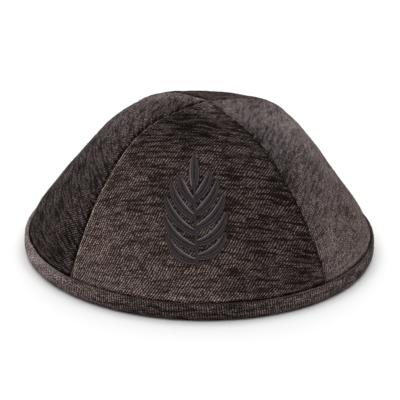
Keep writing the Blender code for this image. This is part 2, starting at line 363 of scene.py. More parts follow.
def flat_slab(columns, rows, back_columns, back_rows):
    """A closed slab one unit square: a fine grid at height 0, a coarse one at -1, and its sides."""
    shape = bmesh.new()
    bmesh.ops.create_grid(shape, x_segments=columns, y_segments=rows, size=0.5)
    front_edges = [edge for edge in shape.edges if edge.is_boundary]
    front_faces = set(shape.faces)
    lower = bmesh.ops.create_grid(shape, x_segments=back_columns, y_segments=back_rows, size=0.5)
    for vert in lower["verts"]:
        vert.co.z = -1.0
    back_faces = [face for face in shape.faces if face not in front_faces]
    bmesh.ops.reverse_faces(shape, faces=back_faces)
    back_edges = [edge for face in back_faces for edge in face.edges if edge.is_boundary]
    bmesh.ops.bridge_loops(shape, edges=front_edges + back_edges)
    for face in shape.faces:
        face.smooth = True
        face.material_index = 0 if face in front_faces else 1
    return shape


def mesh_object(name, shape, materials):
    """Turns a bmesh into an object with its materials."""
    mesh = bpy.data.meshes.new(name)
    shape.to_mesh(mesh)
    shape.free()
    for material in materials:
        mesh.materials.append(material)
    item = bpy.data.objects.new(name, mesh)
    bpy.context.scene.collection.objects.link(item)
    return item


def vertex_places(mesh):
    """The vertices' coordinates as an array."""
    places = np.empty(len(mesh.vertices) * 3, np.float32)
    mesh.vertices.foreach_get("co", places)
    return places.reshape(-1, 3).astype(float)


def place_vertices(mesh, places):
    """Moves the vertices to an array of places."""
    mesh.vertices.foreach_set("co", places.astype(np.float32).ravel())
    mesh.update()


def vertex_normals(mesh):
    """The vertices' normals as an array."""
    normals = np.empty(len(mesh.vertices) * 3, np.float32)
    mesh.vertex_normals.foreach_get("vector", normals)
    return normals.reshape(-1, 3).astype(float)


def write_cloth_map(mesh, weft, warp):
    """Stores the flat cloth's coordinates as a UV map in millimetres."""
    corners = np.empty(len(mesh.loops), np.int32)
    mesh.loops.foreach_get("vertex_index", corners)
    flat = np.stack([weft[corners], warp[corners]], axis=-1) * 1000
    layer = mesh.uv_layers.new(name="cloth")
    layer.data.foreach_set("uv", flat.astype(np.float32).ravel())


def write_painted_light_and_sheen(mesh, gain, smooth, mauve):
    """Stores how light the pile is painted as painted light and shade, and how smooth and mauve its
    painted sheen is, at each vertex.
    """
    layer = mesh.color_attributes.new("nap", "FLOAT_COLOR", "POINT")
    values = np.stack([gain, smooth, mauve, np.ones_like(gain)], axis=-1)
    layer.data.foreach_set("color", values.astype(np.float32).ravel())


def leaf_fullness(share):
    """How full a leaf is along its length: narrow at its foot, widest past it, fine at its tip."""
    return np.sin(math.pi * (LEAF_FOOT_SHARE + (1 - LEAF_FOOT_SHARE) * share)) ** LEAF_ROUNDNESS


def leaf_line(leaf, side, drop, steps=80):
    """Fine stations along a leaf on the flat pattern: places, directions and half widths."""
    length = leaf.length * SPRIG_HEIGHT
    share = np.arange(steps + 1) / steps
    angle = np.radians(leaf.lean + leaf.curl * share)
    along = np.stack([side * np.sin(angle), np.cos(angle)], axis=-1)
    stride = (along[1:] + along[:-1]) / 2 * (length / steps)
    foot = np.array([[0.0, (leaf.foot - drop) * SPRIG_HEIGHT]])
    places = np.concatenate([foot, foot + np.cumsum(stride, axis=0)])
    half = (LEAF_TIP_WIDTH + (LEAF_WIDTH - LEAF_TIP_WIDTH) * leaf_fullness(share)) / 2
    return places, along, half


def stem_line(steps=80):
    """The same stations along the stem."""
    share = np.arange(steps + 1) / steps
    length = TOP_LEAF.foot * SPRIG_HEIGHT + STEM_OVERLAP
    places = np.stack([np.zeros_like(share), share * length], axis=-1)
    along = np.tile([0.0, 1.0], (steps + 1, 1))
    return places, along, STEM_WIDTH / 2 * (1 - STEM_TAPER * share)


def sprig_lines():
    """The stations of every leaf of the sprig."""
    lines = []
    for leaf in LEAF_PAIRS:
        lines.append(leaf_line(leaf, 1, 0.0))
        lines.append(leaf_line(leaf, -1, LEFT_LEAF_DROP))
    lines.append(leaf_line(TOP_LEAF, 1, 0.0))
    return lines


def sprig_distance(x, y):
    """How far points of the flat pattern lie outside the nearest leaf or the stem."""
    nearest = np.full(x.shape, 1.0)
    for places, _, half in [*sprig_lines(), stem_line()]:
        for (px, py), width in zip(places[::2], half[::2]):
            nearest = np.minimum(nearest, np.hypot(x - px, y - py) - width)
    return nearest


def on_front_gore(flat):
    """Lays points of the flat pattern, with their heights over the cloth, on the front gore."""
    climb = climb_at(SPRIG_FOOT + flat[:, 1])
    width = row_arc(0, climb)[3]
    return gore_points(0, flat[:, 0] / width, climb, -flat[:, 2])


def gore_grid(mesh, seam_inset, roll_zone):
    """Each vertex of the flat slab as across and climb on a gore, with its distance to the seam."""
    flat = vertex_places(mesh)
    back = flat[:, 2] < -0.5
    row = (flat[:, 1] + 0.5) * GORE_ROWS
    tuck_end = SKIRT_ROWS + TUCK_ROWS
    rows = (0, SKIRT_ROWS, tuck_end, GORE_ROWS)
    climb = climb_at(np.interp(row, rows, (-SKIRT_HEIGHT, 0.0, TUCK_ZONE, FULL_LENGTH)))
    _, _, _, width, _, _ = row_arc(0, climb)
    zone = np.minimum(roll_zone, 0.4 * width)
    column = (flat[:, 0] + 0.5) * GORE_COLUMNS
    from_edge = np.minimum(column, GORE_COLUMNS - column)
    inner = (from_edge - SEAM_COLUMNS) / (GORE_COLUMNS / 2 - SEAM_COLUMNS)
    distance = np.where(
        from_edge < SEAM_COLUMNS,
        zone * from_edge / SEAM_COLUMNS,
        zone + (width - zone) * inner,
    )
    distance = np.maximum(distance, np.minimum(seam_inset, width))
    across = (1 - distance / width) * np.where(column < GORE_COLUMNS / 2, -1.0, 1.0)
    return across, climb, distance, zone, back


def roll_depth(distance, radius):
    """How deep the cloth rolls in at a distance from the seam."""
    inside = np.clip(radius - distance, 0.0, None)
    return radius - np.sqrt(np.clip(radius ** 2 - inside ** 2, 0.0, None))


def gore_relief(gore, shape, across, climb, distance, weft, warp, bearing):
    """How far a gore's face stands proud of its plain form at each vertex."""
    seed = 10 * gore
    length = np.interp(climb, MIDDLE_CLIMBS, MIDDLE_LENGTHS)
    relief = shape.wobble * cloud(weft, warp, 0.021, 0.017, seed)
    relief += shape.wobble * 0.4 * cloud(weft, warp, 0.008, 0.006, seed + 1)
    relief += shape.slub * cloud(weft, warp, 0.007, 0.0011, seed + 2)
    relief += shape.slub * 0.6 * cloud(weft, warp, 0.0022, 0.0014, seed + 3)
    allowance = shape.allowance_width * (1 + 0.08 * cloud(length, weft * 0, 0.01, 1.0, seed + 4))
    relief += shape.allowance_rise * (1 - ease(distance, allowance - 0.0005, allowance + 0.0006))
    unevenness = 2 * cloud(length, weft * 0, 0.009, 1.0, seed + 5)
    pull = 0.5 + 0.5 * np.sin(length * 2 * math.pi / shape.pucker_pitch + unevenness)
    relief -= shape.pucker * pull * hump(distance, 0.0, 0.0022)
    relief *= ease(distance, 0.0, 0.0012) * ease(length, 0.0, 0.0004)
    return relief - rim_row(bearing, "tuck") * (1 - ease(length, 0.0, shape.tuck_height))


def press_under_sprig(shape, weft_place, length):
    """How deep the stitches press the pile round the sprig."""
    distance = sprig_distance(weft_place, length - SPRIG_FOOT)
    return -shape.stitch_press * (1 - ease(distance, 0.0001, 0.0014))


def gore_painted_light(name, across, climb, distance, weft, warp, seed):
    """Gain of painted light and shade, and smoothness and mauve of painted sheen, on one gore."""
    painted_light = GORE_PAINTED_LIGHT[name]
    rise = np.clip(np.interp(climb, MIDDLE_CLIMBS, MIDDLE_LENGTHS) / FULL_LENGTH, 0.0, 1.0)
    side = (across + 1) / 2
    # Painted light and shade across the gore, from its four corners
    low = painted_light.low_left * (1 - side) + painted_light.low_right * side
    high = painted_light.high_left * (1 - side) + painted_light.high_right * side
    gain = low * (1 - rise) + high * rise
    width = row_arc(0, climb)[3]
    # Patches of painted light and shade
    for painted_patch in PAINTED_PATCHES:
        if painted_patch.gore == name:
            apart = np.hypot((across - painted_patch.across) * width, (rise - painted_patch.rise) * FULL_LENGTH)
            ragged = painted_patch.size * (1 + 0.45 * cloud(weft, warp, 0.006, 0.004, seed + 9))
            gain *= 1 + (painted_patch.gain - 1) * hump(apart, 0.0, ragged)
    gain *= 1 + 0.10 * cloud(weft, warp, 0.016, 0.010, seed + 6)
    # Painted highlight along each gore's left edge and painted shade on its right edge's roll, then the
    # bands' painted shade and highlight
    edge_light_and_shade = np.where(across < 0, painted_light.edge, ROLL_LIGHT_AND_SHADE_BAND.change)
    gain *= 1 + edge_light_and_shade * hump(distance, ROLL_LIGHT_AND_SHADE_BAND.place, ROLL_LIGHT_AND_SHADE_BAND.half_width)
    length = rise * FULL_LENGTH
    for values, band in ((distance, SEAM_SHADE_BAND), (length, TUCK_SHADE_BAND), (length, LIT_BAND)):
        gain *= 1 + band.change * hump(values, band.place, band.half_width)
    smooth = np.full(gain.shape, painted_light.smooth)
    # Painted mauve sheen, growing towards the crown
    mauve = painted_light.mauve * (0.35 + 0.65 * ease(rise, 0.15, 0.65))
    return gain, smooth, mauve


def make_gore(gore, name, shape, materials):
    """One gore of the crown as a closed wall of finely meshed cloth."""
    slab = flat_slab(GORE_COLUMNS, GORE_ROWS, BACK_COLUMNS, BACK_ROWS)
    item = mesh_object(name + "_gore", slab, materials)
    mesh = item.data
    across, climb, distance, zone, back = gore_grid(mesh, shape.seam_inset, shape.roll_zone)
    depth = roll_depth(distance, np.minimum(shape.seam_roll, zone * 0.7))
    depth = np.where(back, PANEL_WALL, depth)
    place_vertices(mesh, gore_points(gore, across, climb, depth))
    normals = vertex_normals(mesh)
    weft, warp = flat_cloth(gore, across, climb)
    seed = 10 * gore
    wander_weft = weft + THREAD_DRIFT * cloud(weft, warp, 0.008, 0.006, seed + 7)
    wander_warp = warp + THREAD_DRIFT * cloud(weft, warp, 0.009, 0.005, seed + 8)
    places = vertex_places(mesh)
    bearing = np.arctan2(places[:, 0], -places[:, 1])
    relief = gore_relief(gore, shape, across, climb, distance, weft, warp, bearing)
    if name == "front":
        length = np.interp(climb, MIDDLE_CLIMBS, MIDDLE_LENGTHS)
        relief += press_under_sprig(shape, across * row_arc(0, climb)[3], length)
    relief = np.where(back, 0.0, relief)
    place_vertices(mesh, places + normals * relief[:, None])
    write_cloth_map(mesh, wander_weft, wander_warp)
    write_painted_light_and_sheen(mesh, *gore_painted_light(name, across, climb, distance, weft, warp, seed))
    return item


def square_corner(radius, height, rounding, before, after, steps=6):
    """The arc round a square corner, between unit steps back along one side and on along the next."""
    corner, back, onward = Vector((radius, height)), Vector(before), Vector(after)
    centre = corner + (back + onward) * rounding
    arc = []
    for step in range(steps + 1):
        turn = math.pi / 2 * step / steps
        arc.append(centre - rounding * (onward * math.cos(turn) + back * math.sin(turn)))
    return arc


def rim_outline(shape):
    """The fold's outline in radius and height: outer face, lip, slot, inner lip, inner face and foot."""
    up, down, out, inward = (0, 1), (0, -1), (1, 0), (-1, 0)
    slot_outer = EDGE_RADIUS + FIT_GAP
    slot_inner = EDGE_RADIUS - PANEL_WALL - FIT_GAP
    inner_face = slot_inner - BINDING_CLOTH
    lip = BINDING_CLOTH * 0.49
    foot = shape.foot_rounding
    outline = square_corner(RIM_RADIUS, 0.0, foot, inward, up)
    outline += square_corner(RIM_RADIUS, BINDING_HEIGHT, lip, down, inward)
    outline += square_corner(slot_outer, BINDING_HEIGHT, lip, out, down)
    outline += [Vector((slot_outer, BINDING_CLOTH)), Vector((slot_inner, BINDING_CLOTH))]
    outline += square_corner(slot_inner, BINDING_HEIGHT, lip, down, inward)
    outline += square_corner(inner_face, BINDING_HEIGHT, lip, out, down)
    outline += square_corner(inner_face, 0.0, foot * INNER_FOOT_SHARE, up, out)
    return outline


def finer(outline, face_pitch, hidden_pitch):
    """The same closed outline with extra points on its long sides, most of them on the outer face."""
    points = []
    for spot, following in zip(outline, outline[1:] + outline[:1]):
        on_face = min(spot.x, following.x) > RIM_RADIUS - BINDING_CLOTH / 2
        pitch = face_pitch if on_face else hidden_pitch
        steps = max(1, round((following - spot).length / pitch))
        points += [spot.lerp(following, step / steps) for step in range(steps)]
    return points


def ring(name, outline, steps, material):
    """A closed outline carried once round the upright axis, with a UV map in millimetres."""
    solid = bmesh.new()
    solid.loops.layers.uv.new("cloth")
    bmesh.ops.create_grid(solid, x_segments=steps, y_segments=len(outline), size=0.5, calc_uvs=True)
    for vert in solid.verts:
        station = outline[round((0.5 - vert.co.y) * len(outline)) % len(outline)]
        bearing = 2 * math.pi * vert.co.x
        vert.co = (station.x * math.sin(bearing), -station.x * math.cos(bearing), station.y)
    rim = [vert for vert in solid.verts if vert.is_boundary]
    bmesh.ops.remove_doubles(solid, verts=rim, dist=1e-6)
    bmesh.ops.recalc_face_normals(solid, faces=solid.faces)
    for face in solid.faces:
        face.smooth = True
    item = mesh_object(name, solid, [material])
    layer = item.data.uv_layers["cloth"].uv
    flat = np.empty(len(layer) * 2, np.float32)
    layer.foreach_get("vector", flat)
    girth = sum((after - spot).length for spot, after in zip(outline, outline[1:] + outline[:1]))
    flat = flat.reshape(-1, 2) * (2000 * math.pi * RIM_RADIUS, 1000 * girth)
    layer.foreach_set("vector", flat.astype(np.float32).ravel())
    return item


def rim_painted_light(bearing, weft, warp, height, outside):
    """Gain of painted light and shade, and smoothness and mauve of painted sheen, on the rim fold."""
    gain = rim_row(bearing, "gain")
    gain *= 1 + 0.12 * cloud(weft, warp, 0.009, 0.004, 95)
    # Painted shade, darker towards the floor
    gain *= 1 - 0.35 * (1 - ease(height, 0.0, 0.35 * BINDING_HEIGHT))
    # Painted highlight along the top of the fold's outer face
    gain *= 1 + 0.25 * hump(height, BINDING_HEIGHT * 0.93, 0.0008) * outside
    return gain, np.full(gain.shape, 0.1), rim_row(bearing, "mauve")


def make_rim_fold(shape, material):
    """The folded strip round the rim with its cloth's relief."""
    item = ring("rim_fold", finer(rim_outline(shape), RIM_PITCH, 4 * RIM_PITCH), RIM_STEPS, material)
    mesh = item.data
    places = vertex_places(mesh)
    normals = vertex_normals(mesh)
    radius = np.hypot(places[:, 0], places[:, 1])
    bearing = np.arctan2(places[:, 0], -places[:, 1])
    height = places[:, 2]
    outside = radius > EDGE_RADIUS
    weft = bearing * RIM_RADIUS
    warp = np.where(outside, height, -height)
    in_slot = np.abs(radius - (EDGE_RADIUS - PANEL_WALL / 2)) < PANEL_WALL / 2 + 1.1 * FIT_GAP
    round_about = 2 * math.pi * RIM_RADIUS
    ribs = np.sin(2 * math.pi * weft / (round_about / round(round_about / shape.rib_pitch)))
    relief = shape.rib_rise * ribs * (0.6 + 0.4 * cloud(weft, warp, 0.004, 0.002, 91))
    relief += shape.wobble * 0.5 * cloud(weft, warp * 0, 0.011, 1.0, 92)
    relief += shape.slub * 1.5 * cloud(weft, warp, 0.0016, 0.0016, 93)
    mid = BINDING_HEIGHT / 2
    bulge = np.clip(1 - ((height - mid) / mid) ** 2, 0.0, None)
    relief += shape.fold_bulge * bulge * np.where(outside, 1.0, 0.6)
    relief -= shape.join_groove * hump(np.abs(weft), math.pi * RIM_RADIUS, 0.0004)
    relief = np.where(in_slot, 0.0, relief)
    places += normals * relief[:, None]
    high = ease(height, 0.5 * BINDING_HEIGHT, BINDING_HEIGHT)
    sway = shape.lip_sway * cloud(weft, warp * 0, 0.013, 1.0, 94) + shape.lip_rise * outside
    places[:, 2] += sway * high
    depth_in_flap = np.clip((RIM_RADIUS - radius) / BINDING_CLOTH, 0.0, 1.0) * outside
    places[:, :2] *= (1 - rim_row(bearing, "tuck") * depth_in_flap * high / radius)[:, None]
    places[:, 2] = np.maximum(places[:, 2], 0.0)
    place_vertices(mesh, places)
    write_painted_light_and_sheen(mesh, *rim_painted_light(bearing, weft, warp, height, outside))
    return item


def thread_object(name, lines, thickness, material, tones, sides=1):
    """Stitches as round threads along lines of points, joined in one mesh, each with its own tone."""
    curve = bpy.data.curves.new(name, "CURVE")
    curve.dimensions = "3D"
    curve.bevel_depth = thickness / 2
    curve.bevel_resolution = sides
    for line in lines:
        spline = curve.splines.new("POLY")
        spline.points.add(len(line) - 1)
        places = np.concatenate([line, np.ones((len(line), 1))], axis=1)
        spline.points.foreach_set("co", places.astype(np.float32).ravel())
        radii = np.ones(len(line), np.float32)
        radii[[0, -1]] = 0.7
        spline.points.foreach_set("radius", radii)
    thread = bpy.data.objects.new(name + "_lines", curve)
    bpy.context.scene.collection.objects.link(thread)
    bpy.context.view_layer.update()
    mesh = bpy.data.meshes.new_from_object(thread.evaluated_get(bpy.context.evaluated_depsgraph_get()))
    bpy.data.objects.remove(thread)
    ends = bmesh.new()
    ends.from_mesh(mesh)
    bmesh.ops.holes_fill(ends, edges=ends.edges, sides=0)
    ends.to_mesh(mesh)
    ends.free()
    mesh.name = name
    mesh.materials.clear()
    mesh.materials.append(material)
    mesh.shade_smooth()
    ring_size = len(mesh.vertices) // sum(len(line) for line in lines)
    per_line = [len(line) * ring_size for line in lines]
    layer = mesh.attributes.new("tone", "FLOAT", "POINT")
    layer.data.foreach_set("value", np.repeat(tones, per_line).astype(np.float32))
    item = bpy.data.objects.new(name, mesh)
    bpy.context.scene.collection.objects.link(item)
    return item


def stitch_heights(points, crest, vein):
    """Heights over the cloth along a half leaf's stitch, from the vein to the leaf's edge."""
    share = np.arange(points) / (points - 1)
    swell = np.sin(math.pi * np.clip(0.16 + 0.84 * share, 0, 1))
    start = np.interp(share, (0, 0.35), (vein, crest))
    rounded = crest * np.sqrt(np.clip(swell, 0.0, 1.0))
    return np.where(share < 0.35, start, rounded) - STITCH_SINK * (share == 1)


def leaf_stitches(line, stitching, random, points=6):
    """The satin stitches of a leaf, from its vein out to both edges and forward along it."""
    places, along, half = line
    length = np.concatenate([[0.0], np.cumsum(np.linalg.norm(np.diff(places, axis=0), axis=-1))])
    stitches = []
    count = int(length[-1] / stitching.spacing)
    for step in range(count + 1):
        for side in (-1, 1):
            at = (step + 0.5 * (side > 0)) * length[-1] / (count + 1)
            spot = np.array([np.interp(at, length, places[:, axis]) for axis in range(2)])
            ahead = np.array([np.interp(at, length, along[:, axis]) for axis in range(2)])
            ahead /= np.linalg.norm(ahead)
            width = np.interp(at, length, half) * random.uniform(0.98, 1.03)
            aside = np.array([ahead[1], -ahead[0]]) * side
            end = spot + aside * (width + stitching.thread * 0.2) + ahead * width * stitching.slant
            crest = stitching.crest * (0.55 + 0.45 * min(1.0, 2 * width / LEAF_WIDTH))
            share = np.linspace(0.0, 1.0, points)[:, None]
            path = spot * (1 - share) + end * share
            heights = stitch_heights(points, crest, crest * 0.50)
            stitches.append(np.column_stack([path, heights]))
    return stitches


def leaf_cords(line, stitching):
    """The two cords laid along a leaf's edges and their tones, both lightened as painted highlights, the
    upper cord much lighter as if lit from above.
    """
    places, along, half = line
    aside = np.column_stack([along[:, 1], -along[:, 0]])
    cords, tones = [], []
    for side in (-1, 1):
        edge = places + side * aside * (half + stitching.thread * 0.35)[:, None]
        height = np.full(len(edge), stitching.thread * 0.6)
        height[0] = height[-1] = -stitching.thread
        cords.append(np.column_stack([edge, height])[::2])
        # Painted highlight: the upper cord gets the full highlight, the lower one 0.35 of it
        is_upper = side * (aside.mean(axis=0) @ (-0.3, 1.0)) > 0
        tones.append(stitching.cord_highlight * (1.0 if is_upper else 0.35))
    return cords, tones


def stem_stitches(line, stitching, random, points=5):
    """The satin stitches across the stem."""
    places, _, half = line
    total = places[-1, 1]
    stitches = []
    count = int(total / stitching.spacing)
    for step in range(count + 1):
        at = step * total / count
        width = np.interp(at, places[:, 1], half) * random.uniform(0.96, 1.06)
        share = np.linspace(-1.0, 1.0, points)
        reach = share * (width + stitching.thread * 0.2)
        lift = at + share * width * stitching.slant
        heights = stitching.crest * 1.1 * np.sqrt(np.clip(1 - share ** 2, 0.0, 1.0)) - 0.0001
        stitches.append(np.column_stack([reach, lift, heights]))
    return stitches


def make_sprig(stitching, material):
    """The leaf sprig in satin stitch on the front gore."""
    random = np.random.default_rng(5)
    flat = stem_stitches(stem_line(), stitching, random)
    for line in sprig_lines():
        flat += leaf_stitches(line, stitching, random)
    tones = list(random.uniform(0.0, 1.0, len(flat)))
    for line in sprig_lines():
        cords, cord_highlights = leaf_cords(line, stitching)
        flat += cords
        # The cords' tones carry their painted highlights
        tones += cord_highlights
    sizes = [len(stitch) for stitch in flat]
    laid = on_front_gore(np.concatenate(flat))
    lines = np.split(laid, np.cumsum(sizes)[:-1])
    return thread_object("satin_sprig", lines, stitching.thread, material, tones)


def gore_fibres(pile, random):
    """Loose fibres that stand up from the gores, each bent over as it rises."""
    lines = []
    climbs = climb_at(random.uniform(0.003, FULL_LENGTH * 0.985, pile.count))
    widths = row_arc(0, climbs)[3]
    kept = random.uniform(0.0, widths.max(), pile.count) < widths
    for climb, width in zip(climbs[kept], widths[kept]):
        gore = random.integers(len(GORES))
        length = random.uniform(0.5, 1.0) * pile.length
        heading = random.uniform(0.0, 2 * math.pi)
        reach = length * np.array([0.0, 0.25, 0.7])
        across = random.uniform(-0.97, 0.97) + reach * math.cos(heading) / width
        climb_here = climb + reach * math.sin(heading) / FULL_LENGTH * TOP
        depth = length * np.array([0.25, -0.35, -0.6])
        lines.append(gore_points(gore, across, np.minimum(climb_here, TOP - 0.01), depth))
    return lines


def rim_fibres(pile, random):
    """Loose fibres that stand out from the rim fold's outer face."""
    lines = []
    for _ in range(pile.count // 6):
        length = random.uniform(0.4, 0.8) * pile.length
        bearing = random.uniform(-math.pi, math.pi)
        height = random.uniform(0.12, 0.98) * BINDING_HEIGHT
        sway = random.uniform(-0.5, 0.5) * length
        radius = RIM_RADIUS + length * np.array([-0.1, 0.4, 0.65])
        turn = bearing + sway * np.array([0.0, 0.4, 1.0]) / RIM_RADIUS
        heights = height + random.uniform(-0.3, 0.4) * length * np.array([0.0, 0.5, 1.0])
        lines.append(np.stack([radius * np.sin(turn), -radius * np.cos(turn), heights], axis=-1))
    return lines


def make_pile(pile, material):
    """The loose fibres of the whole cap in one mesh."""
    random = np.random.default_rng(12)
    lines = gore_fibres(pile, random) + rim_fibres(pile, random)
    tones = random.uniform(0.0, 1.0, len(lines))
    return thread_object("loose_pile", lines, pile.thickness, material, tones, sides=0)


class Wire:
    """A shader socket that Python's operators turn into Math nodes."""

    def __init__(self, nodes, socket):
        self.nodes = nodes
        self.socket = socket

    def math(self, operation, *values):
        inputs = dict(enumerate(values))
        return self.nodes.add("ShaderNodeMath", {"operation": operation}, inputs)

    def __add__(self, other):
        return self.math("ADD", self, other)

    def __radd__(self, other):
        return self.math("ADD", other, self)

    def __sub__(self, other):
        return self.math("SUBTRACT", self, other)

    def __rsub__(self, other):
        return self.math("SUBTRACT", other, self)

    def __mul__(self, other):
        return self.math("MULTIPLY", self, other)

    def __rmul__(self, other):
        return self.math("MULTIPLY", other, self)

    def __truediv__(self, other):
        return self.math("DIVIDE", self, other)

    def __pow__(self, other):
        return self.math("POWER", self, other)

    def __abs__(self):
        return self.math("ABSOLUTE", self)

    def floor(self):
        return self.math("FLOOR", self)

    def sine(self):
        return self.math("SINE", self)

    def ease(self, low, high):
        """A smooth step from 0 at low to 1 at high."""
        settings = {"interpolation_type": "SMOOTHSTEP"}
        return self.nodes.add("ShaderNodeMapRange", settings, {0: self, 1: low, 2: high, 3: 0.0, 4: 1.0})


class Nodes:
    """The shader nodes of one material."""

    def __init__(self, name):
        self.material = bpy.data.materials.new(name)
        self.material.use_nodes = True
        self.tree = self.material.node_tree
        self.tree.nodes.clear()

    def add(self, kind, settings=None, inputs=None, output=0):
        """Adds a node: its settings first, then the values or links of its sockets. Gives one output."""
        node = self.tree.nodes.new(kind)
        for name, value in (settings or {}).items():
            setattr(node, name, value)
        for name, value in (inputs or {}).items():
            if isinstance(value, Wire):
                self.tree.links.new(value.socket, node.inputs[name])
            else:
                node.inputs[name].default_value = value
        return Wire(self, node.outputs[output] if node.outputs else None)

    def split(self, vector):
        """The three parts of a vector or a colour."""
        first = self.add("ShaderNodeSeparateXYZ", {}, {0: vector})
        return [Wire(self, socket) for socket in first.socket.node.outputs]

    def join(self, x, y, z=0.0):
        """A vector of three values."""
        return self.add("ShaderNodeCombineXYZ", {}, {0: x, 1: y, 2: z})

    def noise(self, vector, scale, detail=2.0, roughness=0.5):
        """Soft noise from 0 to 1."""
        inputs = {"Vector": vector, "Scale": scale, "Detail": detail, "Roughness": roughness}
        return self.add("ShaderNodeTexNoise", {"noise_dimensions": "3D"}, inputs)

    def chance(self, vector):
        """A random value from 0 to 1 for each whole-numbered vector."""
        return self.add("ShaderNodeTexWhiteNoise", {"noise_dimensions": "3D"}, {"Vector": vector})

    def mix(self, share, low, high, blend="MIX"):
        """A colour between two others."""
        settings = {"data_type": "RGBA", "blend_type": blend}
        return self.add("ShaderNodeMix", settings, {0: share, 6: low, 7: high}, output=2)

    def scale_colour(self, colour, value):
        """A colour made lighter or darker by a value."""
        settings = {"operation": "SCALE"}
        return self.add("ShaderNodeVectorMath", settings, {0: colour, "Scale": value})

    def surface(self, **inputs):
        """Ends the tree in a Principled surface and gives the material."""
        named = {name.replace("_", " "): value for name, value in inputs.items()}
        shader = self.add("ShaderNodeBsdfPrincipled", {}, named)
        self.add("ShaderNodeOutputMaterial", {}, {"Surface": shader})
        return self.material

    def bump(self, height, distance):
        """A normal roughened by a height."""
        return self.add("ShaderNodeBump", {}, {"Height": height, "Distance": distance})


def opaque(colour, lift=1.0):
    """A property's colour as the four numbers that a socket takes."""
    return (*(part * lift for part in colour), 1.0)


def chenille(name, cloth, lean_degrees, fleck_length):
    """Chenille tweed with a raised pile: rows of soft flecks on a dark ground, with darker streaks of
    weft, scaled by each gore's painted light and shade and tinted by its painted mauve sheen.
    """
    nodes = Nodes(name)
    weft, warp, _ = nodes.split(nodes.add("ShaderNodeUVMap", {"uv_map": "cloth"}))
    nap = nodes.add("ShaderNodeAttribute", {"attribute_name": "nap"}, output="Color")
    gain, smooth, mauve = nodes.split(nap)

    # Slanting rows, each cut into flecks
    lean = math.radians(lean_degrees)
    pitch = cloth.wale_pitch * 1000
    length = fleck_length * 1000
    across = (weft * math.sin(lean) - warp * math.cos(lean)) / pitch
    along = (weft * math.cos(lean) + warp * math.sin(lean)) / length
    sway = nodes.noise(nodes.join(weft * 0.5, warp * 0.5, 7.0), 1.0, 2.0, 0.5)
    tremble = nodes.noise(nodes.join(weft * 1.1, warp * 1.1, 3.0), 1.0, 1.0, 0.5)
    across = across + sway * 0.8 + tremble * 0.7
    row = across.floor()
    along = along + nodes.chance(nodes.join(row, 3.0))
    cell = along.floor()
    tone = nodes.chance(nodes.join(row, cell, 1.0))
    middle = abs((across - row) * 2 - 1)
    end = abs((along - cell) * 2 - 1)
    fleck = (1 - middle.ease(0.0, 0.70)) * (1 - end.ease(0.30, 1.0) * 0.82)

    # Long and short streaks along the weft, and fine grain
    long_streak = nodes.noise(nodes.join(weft * 0.085, warp * 0.62, 4.0), 1.0, 3.0, 0.62)
    streak = (long_streak + gain * 0.10).ease(0.46, 0.60)
    short_streak = nodes.noise(nodes.join(weft * 0.30, warp * 1.25, 9.0), 1.0, 2.0, 0.6).ease(0.36, 0.60)
    blotch = nodes.noise(nodes.join(weft * 0.09, warp * 0.12, 2.0), 1.0, 2.0, 0.5).ease(0.3, 0.7)
    fibre = nodes.noise(nodes.join(across * 0.85, along * 1.5, 0.0), 1.0, 4.0, 0.75).ease(0.30, 0.70)
    grain = nodes.noise(nodes.join(across * 2.0, along * 2.0, 5.0), 1.0, 3.0, 0.7).ease(0.34, 0.66)

    # How much light fibre shows, from all of these; the painted sheen's smoothness lowers the contrast
    # and lightens the level
    contrast = 1 - smooth * 0.6
    weave = (0.05 + 1.14 * fleck) * (0.42 + 1.04 * tone)
    lit = weave * (0.03 + 0.40 * fibre + 1.38 * grain)
    nap_level = lit * contrast + (1 - contrast) * (0.10 + 0.30 * fibre + 0.34 * grain)
    fullness = gain.ease(0.15, 1.0)
    deepest = 0.04 + 0.42 * fullness
    shade = (deepest + (1 - deepest) * streak) * (0.66 + 0.44 * short_streak) * (0.80 + 0.4 * blotch)
    shade = shade ** (1.2 - 0.3 * fullness)
    level = nap_level * (shade + smooth * 0.20)
    brown = nodes.mix(cloth.ground + level, opaque(cloth.dark_fibre), opaque(cloth.light_fibre))
    # Painted mauve sheen by the attribute's mauve share, then painted light and shade by its gain
    sheen_tinted = nodes.mix(mauve, brown, opaque(cloth.mauve_sheen_cast), blend="MULTIPLY")
    colour = nodes.scale_colour(sheen_tinted, gain)

    height = fleck * (0.6 + 0.4 * tone) * contrast + 0.45 * fibre + 0.25 * streak * contrast
    return nodes.surface(
        Base_Color=colour,
        Roughness=0.9,
        Normal=nodes.bump(height, cloth.pile_relief),
        Sheen_Weight=0.012,
        Sheen_Roughness=0.5,
        Sheen_Tint=opaque(cloth.sheen_tint),
        Specular_IOR_Level=0.02,
    )


def cloth_back(name, cloth):
    """The plain woven back of the cloth, inside the cap."""
    nodes = Nodes(name)
    weft, warp, _ = nodes.split(nodes.add("ShaderNodeUVMap", {"uv_map": "cloth"}))
    turn = math.pi / (cloth.back_pitch * 1000)
    over = (weft * turn).sine() * (warp * turn).sine()
    fibre = nodes.noise(nodes.join(weft, warp, 0.0), 3.0, 3.0, 0.6)
    blotch = nodes.noise(nodes.join(weft * 0.1, warp * 0.12, 5.0), 1.0, 2.0, 0.5)
    level = 0.35 + 0.25 * over + 0.5 * fibre * blotch
    colour = nodes.mix(level, opaque(cloth.dark_fibre, 1.5), opaque(cloth.light_fibre, 0.7))
    return nodes.surface(
        Base_Color=colour,
        Roughness=0.88,
        Normal=nodes.bump(over + fibre * 0.8, cloth.pile_relief * 0.7),
        Specular_IOR_Level=0.2,
    )


